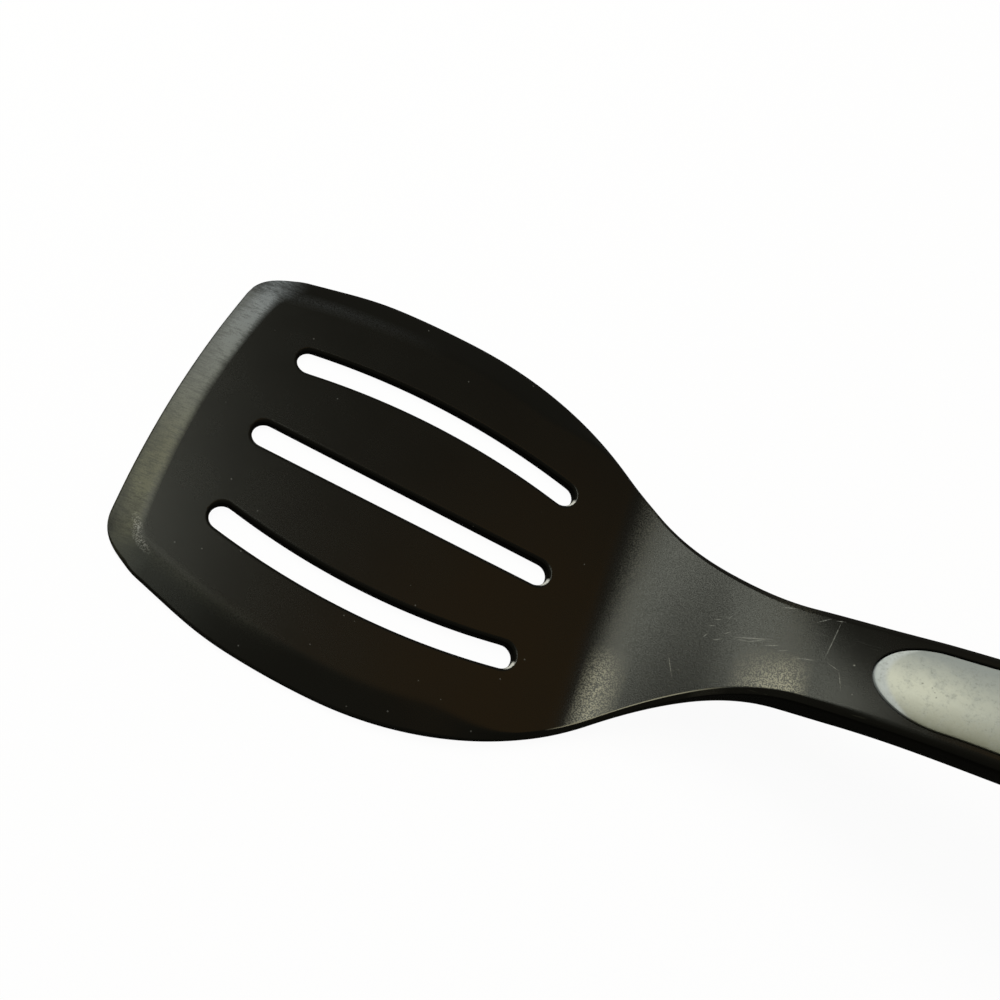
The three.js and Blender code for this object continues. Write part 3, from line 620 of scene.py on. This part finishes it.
def body_patches(form):
    """Half of the body: top from the holes to the crest, shoulder, flank, underside, and hole walls.

    The top arches as 1 - (y / flat)2, the shoulder is a quadratic curve from the crest to the flank,
    and the lower side is a quarter ellipse. Behind the back shell's front the underside is a skirt.
    """
    b, h, g = form.blade, form.handle, form.grip
    rows = stations(form)
    split = h.shell_x
    s = np.concatenate([rows[rows < split], [split, split], rows[rows > split]])
    lid = np.arange(len(s)) > np.flatnonzero(s == split)[0]
    sec = form.section(s)
    middle, hang, pocket = form.middle_slot(s), form.hang_hole(s), form.pad_half(s, form.pocket_gap())
    inner, outer = form.outer_slot(s)
    outer_reach, hang_reach = form.outer_c + form.slot_r, form.hang_c + form.hang_r
    away = np.abs(s - form.slot_x) > outer_reach + WELD
    front_flat, rear_flat = np.interp([form.slot_x - outer_reach, form.slot_x + outer_reach], s, sec.flat)
    rest = form.outer_y * np.where(away, sec.flat, 0.0) / np.where(s < form.slot_x, front_flat, rear_flat)
    wall = h.skirt_wall * sec.end
    raised = sec.seam + h.skirt_depth * sec.end
    under_edge = np.where(lid, sec.half - wall, sec.under_flat)
    lower_rest = np.minimum(rest, under_edge * 0.7)
    hole = np.maximum(np.maximum(middle, hang), pocket)
    hole = np.where(hang + pocket > 0.0, hole, middle)
    under_hole = np.maximum(middle, hang)
    top_inner = np.where(away, np.maximum(rest, hole + (sec.flat - hole) * 0.5), inner)
    top_outer = np.where(away, top_inner, outer)
    under_inner = np.where(away, np.maximum(lower_rest, under_hole + (under_edge - under_hole) * 0.4), inner)
    under_outer = np.where(away, under_inner, outer)
    soft = np.minimum(b.crest_soft, np.minimum(sec.flat - top_outer, sec.half - sec.flat) / 2)

    def crown(y):
        arched = sec.top[:, None] + sec.crown[:, None] * (1.0 - (y / np.maximum(sec.flat, WELD)[:, None]) ** 2)
        front = s < 0.0
        arched[front] = blade_top(form, sec, front, y[front])
        return arched

    y_in = between(hole, top_inner, CROWDED)
    y_out = np.concatenate([between(top_outer, sec.flat - soft, CROWDED)[:, :-1],
                            between(sec.flat - soft, sec.flat, np.array([0.0, 0.5]))], axis=1)
    share = np.concatenate([[0.0, 0.06, 0.13], np.linspace(0.25, 1.0, 9)])
    mid_y, mid_z = (sec.flat + sec.half) / 2, sec.top - sec.drop / 2
    pull_y = mid_y + (sec.half - mid_y) * sec.roundness
    pull_z = mid_z + (sec.top - mid_z) * sec.roundness
    w0, w1, w2 = (1 - share) ** 2, 2 * share * (1 - share), share ** 2
    y_sh = np.outer(sec.flat, w0) + np.outer(pull_y, w1) + np.outer(sec.half, w2)
    z_sh = np.outer(sec.top, w0) + np.outer(pull_z, w1) + np.outer(sec.top - sec.drop, w2)
    z_sh[s < 0.0] = blade_top(form, sec, s < 0.0, y_sh[s < 0.0])
    z_fl = between(z_sh[:, -1], sec.seam, np.linspace(0.0, 1.0, 5)[1:-1])
    y_fl = np.repeat(sec.half[:, None], z_fl.shape[1], axis=1)

    turn = np.linspace(0.0, math.pi / 2, 11)
    y_el = sec.under_flat[:, None] + np.outer(sec.half - sec.under_flat, np.cos(turn))
    z_el = sec.bottom[:, None] + np.outer(sec.under_round, 1 - np.sin(turn))
    step = np.linspace(0.0, 1.0, 6)
    y_lid = np.concatenate([between(sec.half, sec.half - wall, step),
                            np.repeat((sec.half - wall)[:, None], len(step) - 1, axis=1)], axis=1)
    z_lid = np.concatenate([np.repeat(sec.seam[:, None], len(step), axis=1),
                            between(sec.seam, raised, step[1:])], axis=1)
    y_el, z_el = np.where(lid[:, None], y_lid, y_el), np.where(lid[:, None], z_lid, z_el)
    floor = np.where(lid, raised, sec.bottom)
    across = np.linspace(0.0, 1.0, y_out.shape[1] + y_sh.shape[1])[1:]
    y_un = between(y_el[:, -1], under_outer, across)
    y_ui = between(under_inner, under_hole, CROWDED)
    level = floor[:, None]

    top_in = points(sec, y_in, crown(y_in))
    chain = points(sec, np.concatenate([y_out, y_sh, y_fl, y_el, y_un], axis=1),
                   np.concatenate([crown(y_out), z_sh, z_fl, z_el, np.repeat(level, y_un.shape[1], 1)], axis=1))
    under_in = points(sec, y_ui, np.repeat(level, y_ui.shape[1], 1))

    n_top = y_out.shape[1] + y_sh.shape[1]
    n_side = n_top + y_fl.shape[1] + y_el.shape[1]
    above, below = chain[0, :n_top], chain[0, n_side - 1:][::-1]
    lip_in = front_lip(form, top_in[0], under_in[0, ::-1])
    lip_out = front_lip(form, above, below)
    corner = chain[0, n_top - 1:n_side]
    fan = np.stack([corner, np.repeat(lip_out[1, -1][None, :], len(corner), axis=0)])

    slot_wall, *walls, pocket_wall = [
        hole_wall(s, at, reach, (one, other), crown(one[:, None])[:, 0], base, rim, lower_rim)
        for at, reach, one, other, base, rim, lower_rim in (
            (form.slot_x, outer_reach, inner, outer, floor, b.slot_rim, b.slot_under),
            (form.slot_x, form.slot_c + form.slot_r, middle, -middle, floor, b.slot_rim, b.slot_under),
            (form.hang_x, hang_reach, hang, -hang, floor, h.hang_rim, h.hang_seam),
            ((g.front_x + form.pad_end) / 2, (form.pad_end - g.front_x) / 2 + form.pocket_gap(), pocket, -pocket,
             sec.top - g.pocket_depth, g.pocket_rim, 0.0))]
    pocket_wall = pocket_wall[:, :-1]
    foot = pocket_wall[:, -1]
    pocket_floor = np.stack([foot, foot[::-1]])[:, :len(foot) // 2 + 1]
    return [top_in, chain, under_in, lip_in, lip_out, fan, slot_wall], [*walls, pocket_wall, pocket_floor]


def make_body(form):
    """Object of the body, from its half and the walls on the middle line."""
    return surface("blade_and_handle", *body_patches(form))


def make_back_shell(form):
    """Object of the back shell: a quarter ellipse each side, a flat back, and a tongue on its upper side. The wall
    of its hang hole is made upside down, because its larger rim is the lower one."""
    h = form.handle
    rows = stations(form)
    front = h.shell_x + h.seam_gap
    s = np.concatenate([[front, front], rows[rows > front]])
    sec = form.section(s)
    hang = form.hang_hole(s)
    bulge = sec.half - sec.under_flat
    last = np.arccos(np.clip((hang - sec.under_flat) / np.maximum(bulge, WELD), 0.0, 1.0))
    first = np.arcsin(np.clip(h.seam_gap / np.maximum(sec.under_round, WELD), 0.0, 1.0))
    turn = between(first, last, np.linspace(0.0, 1.0, 13))
    y_el = sec.under_flat[:, None] + bulge[:, None] * np.cos(turn)
    z_el = sec.bottom[:, None] + sec.under_round[:, None] * (1 - np.sin(turn))
    foot = z_el[:, -1]
    brim = sec.seam - h.seam_gap
    tongue = sec.half - (h.skirt_wall + h.seam_gap) * sec.end
    raised = sec.seam + (h.skirt_depth - h.seam_gap) * sec.end
    even = np.linspace(0.0, 1.0, 9)
    y = np.concatenate([between(hang, tongue, even), tongue[:, None], y_el,
                        between(np.maximum(hang, sec.under_flat), hang, even[1:])], axis=1)
    z = np.concatenate([np.repeat(raised[:, None], len(even), axis=1), brim[:, None], z_el,
                        np.repeat(foot[:, None], len(even) - 1, axis=1)], axis=1)
    y[0] = 0.0
    reach = form.hang_c + form.hang_r
    wall = hole_wall(s, form.hang_x, reach, (hang, -hang), -foot, -raised, h.hang_rim, h.hang_seam)
    return surface("handle_back", [points(sec, y, z)], [wall * UPSIDE_DOWN])


def make_grip_pad(form):
    """Object of the pad: an arched face whose rim falls as a quarter round of the distance to its edge."""
    g = form.grip
    s = in_order([
        crowd(g.front_x, g.front_x + g.front_round, 26),
        np.linspace(g.front_x + g.front_round, form.pad_end - g.rear_round, 60),
        crowd(form.pad_end, form.pad_end - g.rear_round, 26)])
    sec = form.section(s)
    half = form.pad_half(s, 0.0)
    share = np.sin(np.linspace(0.0, math.pi / 2, 33))
    y = between(np.zeros_like(half), half, share)
    slope = np.gradient(half, s)
    edge = (half[:, None] - y) / np.sqrt(1.0 + slope ** 2)[:, None]
    fall = 1.0 - root(1.0 - (1.0 - np.clip(edge / g.rim, 0.0, 1.0)) ** 2)
    arch = 1.0 - (y / (g.width / 2)) ** 2
    lift = g.crown * (half / half.max())[:, None] * arch
    seat = sec.top[:, None] + sec.crown[:, None] * (1.0 - (y / sec.flat[:, None]) ** 2)
    face = seat + g.proud + lift - g.rim_drop * fall
    foot = (sec.top - g.pocket_depth + g.joint)[:, None]
    side = face[:, -1:] + (foot - face[:, -1:]) * np.array([[0.3, 1.0]])
    y = np.concatenate([y, half[:, None], half[:, None], 0.0 * half[:, None]], axis=1)
    z = np.concatenate([face, side, foot], axis=1)
    return surface("grip_pad", [points(sec, y, z)])


def add_node(tree, kind, inputs=(), **settings):
    """Adds a node with its settings. Inputs stand by name, or in the order of the sockets in use. A socket is
    linked, a node by its first output, and other values are set. Inputs left over go into one more such node,
    after the first one's result, and so on."""
    node = tree.nodes.new('ShaderNode' + kind)
    for name, value in settings.items():
        setattr(node, name, value)
    sockets = [socket for socket in node.inputs if socket.enabled]
    if isinstance(inputs, dict):
        sockets, inputs = [node.inputs[name] for name in inputs], tuple(inputs.values())
    for socket, value in zip(sockets, inputs):
        if isinstance(value, bpy.types.Node):
            value = next(result for result in value.outputs if result.enabled)
        if isinstance(value, bpy.types.NodeSocket):
            tree.links.new(value, socket)
        else:
            socket.default_value = value
    left = inputs[len(sockets):]
    return add_node(tree, kind, (node, *left), **settings) if left else node


def new_tree(block):
    """Emptied node tree of a new material or world."""
    block.use_nodes = True
    block.node_tree.nodes.clear()
    return block.node_tree


def product(add, *factors):
    """Product of factors. A row of a value, two ends of its range and two ends to take on, which are 0 and 1 if
    they are left out, is first spread evenly between them and held at its ends."""
    factors = [add('MapRange', factor) if isinstance(factor, tuple) else factor for factor in factors]
    return add('Math', factors, operation='MULTIPLY') if len(factors) > 1 else factors[0]


def stroke_mask(add, place, strokes):
    """Mask of short strokes: for each, one at its middle and falling evenly to zero on an ellipse. The place's height
    is made too small to count."""
    falls = []
    for x, y, angle, half_length, half_width in strokes:
        spot = add('Mapping', (place, (x, y, 0), (0, 0, math.radians(angle)), (half_length, half_width, 1 / MM)),
                   vector_type='TEXTURE')
        falls.append(add('TexGradient', (spot,), gradient_type='SPHERICAL').outputs['Fac'])
    return add('Math', falls, operation='MAXIMUM')


def moulded_surface(add, tint, rough, relief, depth, optics):
    """Ends a material with a plastic's shader and a relief whose depth is in millimetres."""
    bump = add('Bump', {'Height': relief, 'Strength': 1.0, 'Distance': depth * MM})
    shader = add('BsdfPrincipled', {'Base Color': tint, 'Roughness': rough, 'Normal': bump, **optics})
    add('OutputMaterial', (shader,))


def moulded_black_nylon(finish):
    """Moulded black nylon: satin and slightly brown, with the fine pebbled grain of its mould."""
    material = bpy.data.materials.new("moulded_black_nylon")
    add = partial(add_node, new_tree(material))
    place = add('VectorMath', {'Vector': add('TexCoord').outputs['Object'], 'Scale': 1 / MM}, operation='SCALE')
    grain, cloud = (add('TexNoise', (place, 1 / size, 2)) for size in (NYLON_GRAIN, NYLON_CLOUD))
    rough = add('MapRange', (cloud, 0.3, 0.7, 0.25, 0.3))
    moulded_surface(add, finish.nylon, rough, grain, 0.015, {**NYLON, 'Specular Tint': finish.glint})
    return material


def worn_black_nylon_painted_glints(blade, finish):
    """Moulded black nylon after years of use: a front bevel rubbed pale by pans with fine scratches across it, rubbed
    crests beside it, and pale scratches and dust.
    It also holds painted highlights: grain tips painted pale in the highlight bands on the bends of the neck, a pale
    line along its near edge, grainy glints on the near front corner and bright glints at the slots' rear ends.
    Places are in millimetres."""
    material = bpy.data.materials.new("worn_black_nylon_painted_glints")
    add = partial(add_node, new_tree(material))
    source = add('TexCoord').outputs
    place = add('VectorMath', {'Vector': source['Object'], 'Scale': 1 / MM}, operation='SCALE')
    x, y, _ = add('SeparateXYZ', (place,)).outputs
    ahead, lean, lift = add('SeparateXYZ', (source['Normal'],)).outputs
    upper = product(add, (lift, 0.1, 0.4))
    grain, patch, cloud = (add('TexNoise', (place, 1 / size, 2)) for size in (NYLON_GRAIN, NYLON_PATCH, NYLON_CLOUD))
    # Distance behind the front crest, which is bowed, and distance outside the side crest, which is an arc
    bow = product(add, y, y, MM / (2 * blade.crest_radius))
    straight = add('Math', (x, bow), operation='SUBTRACT')
    behind = add('Math', (straight, (blade.reach - blade.front_bevel) / MM), operation='ADD')
    centre = (-blade.widest_ahead / MM, (blade.width / 2 - blade.side_front_radius) / MM, 0)
    plan = add('CombineXYZ', (x, add('Math', (y,), operation='ABSOLUTE')))
    away = add('VectorMath', (plan, centre), operation='DISTANCE')
    beside = add('Math', (away, (blade.side_front_radius - blade.side_bevel) / MM), operation='SUBTRACT')
    # Rubbed front bevel, whose crest turns round the corners and which fades along the side bevels
    outside = add('Math', (product(add, behind, -1), beside, 5), operation='SMOOTH_MAX')
    fade = product(add, (x, -80, -87.5))
    # Scratches across the bevel
    across = add('Mapping', {'Vector': place, 'Scale': (1 / STREAK_LENGTH, 1 / STREAK_PITCH, 1 / STREAK_LENGTH)})
    streak = add('TexNoise', (across, 1, 3, 0.7))
    bevel = product(
        add, (outside, -1.3, 0.7), fade, fade, (behind, -4.9, -4, 0.5, 1), (behind, -4, -0.4, 0.72, 1.2),
        (y, -37, -24, 0.25, 1), (streak, 0.35, 0.65, 0.45, 1.3), (patch, 0.35, 0.65, 0.68, 1.12),
        (grain, 0.35, 0.65, 0.7, 1.25))
    # Rubbed crest of the side bevels, seen as a soft grainy line
    off_crest = add('Math', (beside,), operation='ABSOLUTE')
    crest = product(add, (off_crest, 2.4, 0, 0, 0.12), (x, -46, -74), (grain, 0.3, 0.65), upper)
    # Hairlines in two directions on the neck, only in rubbed patches
    hair = []
    for angle in (18, -52):
        turned = add('Mapping', {
            'Vector': place, 'Rotation': (0, 0, math.radians(angle)),
            'Scale': (1 / HAIRLINE_LENGTH, 1 / HAIRLINE_PITCH, 1 / HAIRLINE_LENGTH)})
        hair.append(product(add, (add('TexNoise', (turned, 1, 2)), 0.66, 0.74, 0, 0.28)))
    hair = add('Math', hair, operation='MAXIMUM')
    hairlines = product(add, hair, (patch, 0.42, 0.6), (x, 10, 20), (x, 66, 50), upper)
    scratches = product(add, stroke_mask(add, place, NECK_SCRATCHES), (grain, 0.38, 0.6, 0.25, 0.9), upper)
    worn = add('Math', (bevel, crest, hairlines, scratches), operation='MAXIMUM')
    wear = add('Math', (worn, 1), operation='MINIMUM')
    # Painted highlight: tips of the grain painted pale in the highlight bands on both bends of the neck, towards its
    # near edge, and a painted highlight line along that edge itself
    heel = product(add, (x, 9, 13), (x, 18.5, 13.5), (y, -9, -17, 0.1, 0.9))
    bend = product(add, (x, 35, 44), (x, 50, 46), (y, -1, -9, 0.08, 1.2))
    bends = product(add, add('Math', (heel, bend), operation='MAXIMUM'), (grain, 0.46, 0.57, 0.05, 1.1),
                    (lean, -0.25, -0.1), upper)
    near_edge = product(add, (lean, -0.04, -0.15), (lean, -0.5, -0.3), (x, 6, 10), (x, 36, 28), upper)
    tips = add('Math', (add('Math', (bends, near_edge), operation='MAXIMUM'), 1), operation='MINIMUM')
    # Painted highlight in grainy specks on the near front corner's crest, and dust in specks of 0.2 mm
    corner_glint = product(add, stroke_mask(add, place, CORNER_GLINTS), (grain, 0.48, 0.58), upper)
    dust = product(add, (add('TexVoronoi', (place, 1 / DUST_PITCH)), 0.045, 0.02, 0, 0.3), upper)
    marks_and_corner_glint = product(add, add('Math', (scratches, corner_glint, dust), operation='MAXIMUM'), 0.36)
    # Painted highlight on the rims at the rear ends of the slots, which face the lamps
    slot_end_glint = product(add, (ahead, -0.35, -0.6), (lift, 0.2, 0.45), (lean, 0, 0.15), (x, -11, -8), (x, 0, -1))
    # Scratches and dust, together with the painted glints on the near front corner and the slots' rear ends
    bright = add('Math', (slot_end_glint, marks_and_corner_glint), operation='MAXIMUM')
    pale = add('Mix', (product(add, (y, -12, 30)), finish.rubbed_warm, finish.rubbed_cool), data_type='RGBA')
    tint = finish.nylon
    for share, coat in ((wear, pale), (tips, finish.grain_highlight), (bright, finish.marks_and_glint_white)):
        tint = add('Mix', (share, tint, coat), data_type='RGBA')
    # The blade is nearly smooth, the neck is grained, and the handle is polished by hands
    grained = product(add, (x, 2, 12, 0.15, 1), (x, 46, 57, 1, 0.2))
    rough = add('Math', (
        product(add, (cloud, 0.3, 0.7, 0.25, 0.28)), product(add, wear, 0.12), product(add, (x, 46, 58, 0, -0.01)),
        product(add, (grain, 0.35, 0.65, -0.06, 0.06), grained)), operation='ADD')
    relief = add('Math', (product(add, grain, grained), product(add, wear, 0.3)), operation='ADD')
    moulded_surface(add, tint, rough, relief, 0.02, {**NYLON, 'Specular Tint': finish.glint})
    return material


def soft_grey_elastomer_painted_light(grip, finish):
    """Overmoulded grey elastomer: matt and mottled, with a few nicks. Painted highlight on the rim at its tip, and
    painted shade on its near and far sides and towards its far end.
    Places are in millimetres."""
    material = bpy.data.materials.new("soft_grey_elastomer_painted_light")
    add = partial(add_node, new_tree(material))
    place = add('VectorMath', {'Vector': add('TexCoord').outputs['Object'], 'Scale': 1 / MM}, operation='SCALE')
    x, y, _ = add('SeparateXYZ', (place,)).outputs
    grain, dirt = (add('TexNoise', (place, 1 / size, 2)) for size in (PAD_GRAIN, PAD_DIRT))
    # The mottling also frays the borders of the stains
    mottle = add('TexNoise', (place, 1 / PAD_MOTTLE, 4, 0.65))
    fray = product(add, (mottle, 0, 1, -1.5, 1.5))
    along, side = (add('Math', (axis, fray), operation='ADD') for axis in (x, y))
    # Distance behind the pad's front edge, which is an arc near its tip
    arc = product(add, y, y, -2 * MM * grip.front_round / grip.front_width ** 2)
    rim = add('Math', (x, arc, product(add, fray, 0.3), -grip.front_x / MM), operation='ADD')
    tint = finish.pad
    # Painted shade towards the far end and on the far and near sides, a painted highlight on the tip's rim, mottling,
    # specks that dirt leaves in the grain, and nicks
    for share, coat in (
            (product(add, (along, 70, 90, 0, 0.7)), finish.pad_mottle_and_far_shade),
            (product(add, (side, -0.5, 7)), finish.pad_mottle_and_far_shade),
            (product(add, (side, -3, -9)), finish.pad_near_shade),
            (product(add, (rim, 2.5, 1.5)), finish.pad_tip_highlight),
            (product(add, (mottle, 0.5, 0.75, 0, 0.4)), finish.pad_mottle_and_far_shade),
            (product(add, (dirt, 0.5, 0.72, 0, 0.45), (mottle, 0.4, 0.65)), finish.pad_pit),
            (stroke_mask(add, place, PAD_NICKS), finish.pad_pit)):
        tint = add('Mix', (share, tint, coat), data_type='RGBA')
    moulded_surface(add, tint, product(add, (mottle, 0.3, 0.7, 0.5, 0.62)), grain, 0.012, ELASTOMER)
    return material


def pale_floor(finish):
    """Pale studio floor: white for the camera, with the object's shadow left in it, and dim for the tool,
    which the photograph shows without any light from below."""
    material = bpy.data.materials.new("pale_studio_floor")
    add = partial(add_node, new_tree(material))
    seen = add('MixShader', (0.95, add('BsdfDiffuse', (finish.floor,)), add('Emission', (WHITE, 1.0))))
    dim = add('BsdfDiffuse', (finish.floor_bounce,))
    mix = add('MixShader', (add('LightPath').outputs['Is Camera Ray'], dim, seen))
    add('OutputMaterial', (mix,))
    return material


def studio_world():
    """World: white behind the scene for the camera, and a dim grey room for the light."""
    world = bpy.data.worlds.new("studio_room")
    add = partial(add_node, new_tree(world))
    room, white = add('Background', (ROOM_TINT, ROOM_STRENGTH)), add('Background', (WHITE, 1.0))
    mix = add('MixShader', (add('LightPath').outputs['Is Camera Ray'], room, white))
    add('OutputWorld', (mix,))
    return world


def softbox(name, place, size, watts, tint):
    """Rectangular area lamp at a place, facing the tool."""
    lamp = bpy.data.lights.new(name, 'AREA')
    lamp.shape = 'RECTANGLE'
    lamp.size, lamp.size_y = size
    lamp.energy = watts
    lamp.color = tint
    light = bpy.data.objects.new(name, lamp)
    aim = (Vector(LAMP_TARGET) - Vector(place)).to_track_quat('-Z', 'Y')
    light.matrix_world = Matrix.LocRotScale(Vector(place), aim, None)
    bpy.context.scene.collection.objects.link(light)


def scene_form(context):
    """Form from the sizes in the scene."""
    scene = context.scene
    return Form(scene.spatula_blade, scene.spatula_handle, scene.spatula_grip)


def finish_piece(piece, material, node):
    """Gives a piece its material and its place in the frame."""
    piece.data.materials.append(material)
    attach(piece, "root")
    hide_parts(node)


class SPATULA_OT_body(Operator):
    """Builds the slotted blade, the neck and the upper handle"""
    bl_idname = "spatula.body"
    bl_label = "Blade and Handle"

    def execute(self, context):
        scene = context.scene
        nylon = worn_black_nylon_painted_glints(scene.spatula_blade, scene.spatula_finish)
        finish_piece(make_body(scene_form(context)), nylon, "body_moulding")
        return {'FINISHED'}


class SPATULA_OT_back_shell(Operator):
    """Builds the shell that closes the handle from below"""
    bl_idname = "spatula.back_shell"
    bl_label = "Handle Back"

    def execute(self, context):
        nylon = moulded_black_nylon(context.scene.spatula_finish)
        finish_piece(make_back_shell(scene_form(context)), nylon, "handle_back_shell")
        return {'FINISHED'}


class SPATULA_OT_grip_pad(Operator):
    """Builds the soft pad in the handle's top"""
    bl_idname = "spatula.grip_pad"
    bl_label = "Grip Pad"

    def execute(self, context):
        scene = context.scene
        elastomer = soft_grey_elastomer_painted_light(scene.spatula_grip, scene.spatula_finish)
        finish_piece(make_grip_pad(scene_form(context)), elastomer, "grip_inlay")
        return {'FINISHED'}


class SPATULA_OT_stage(Operator):
    """Builds the floor, the studio light and the camera"""
    bl_idname = "spatula.stage"
    bl_label = "Stage"

    def execute(self, context):
        scene = context.scene
        mesh = bpy.data.meshes.new("studio_floor")
        corners = np.array([[-1, -1, 0], [1, -1, 0], [1, 1, 0], [-1, 1, 0]]) * FLOOR_REACH
        mesh.from_pydata(corners - np.array([0.0, 0.0, FLOOR_DROP]), [], [[0, 1, 2, 3]])
        floor = bpy.data.objects.new("studio_floor", mesh)
        floor.data.materials.append(pale_floor(scene.spatula_finish))
        scene.collection.objects.link(floor)
        scene.world = studio_world()
        for row in SOFTBOXES:
            softbox(*row)
        camera = bpy.data.cameras.new("photo_camera")
        camera.sensor_width, camera.lens, camera.clip_start = CAMERA_SENSOR, CAMERA_LENS, CAMERA_NEAR
        eye = bpy.data.objects.new("photo_camera", camera)
        about_x, about_y, about_z = (
            Matrix.Rotation(math.radians(angle), 3, axis) for angle, axis in zip(CAMERA_TURN, 'XYZ'))
        turn = (about_x @ about_y @ about_z).transposed()
        eye.matrix_world = Matrix.LocRotScale(Vector(CAMERA_PLACE), turn.to_quaternion(), None)
        scene.collection.objects.link(eye)
        scene.camera = eye
        scene.view_settings.view_transform = 'Standard'
        return {'FINISHED'}


class SPATULA_PT_panel(Panel):
    """Lists the pieces and their sizes"""
    bl_idname = "SPATULA_PT_panel"
    bl_label = "Slotted Spatula"
    bl_space_type = 'VIEW_3D'
    bl_region_type = 'UI'
    bl_category = "Spatula"

    def draw(self, context):
        for step in STEPS:
            self.layout.operator(step.bl_idname)
        for group in GROUPS:
            values = getattr(context.scene, "spatula_" + group)
            box = self.layout.box()
            for name in values.__annotations__:
                box.prop(values, name)


GROUPS = {"blade": SpatulaBlade, "handle": SpatulaHandle, "grip": SpatulaGrip, "finish": SpatulaFinish}
STEPS = (SPATULA_OT_body, SPATULA_OT_back_shell, SPATULA_OT_grip_pad, SPATULA_OT_stage)


def register():
    for kind in (*GROUPS.values(), *STEPS, SPATULA_PT_panel):
        bpy.utils.register_class(kind)
    for name, kind in GROUPS.items():
        setattr(bpy.types.Scene, "spatula_" + name, PointerProperty(type=kind))


def unregister():
    for name in GROUPS:
        delattr(bpy.types.Scene, "spatula_" + name)
    for kind in (SPATULA_PT_panel, *STEPS, *GROUPS.values()):
        bpy.utils.unregister_class(kind)


def main():
    register()
    bpy.ops.spatula.body()
    bpy.ops.spatula.back_shell()
    bpy.ops.spatula.grip_pad()
    bpy.ops.spatula.stage()


if __name__ == "__main__":
    main()
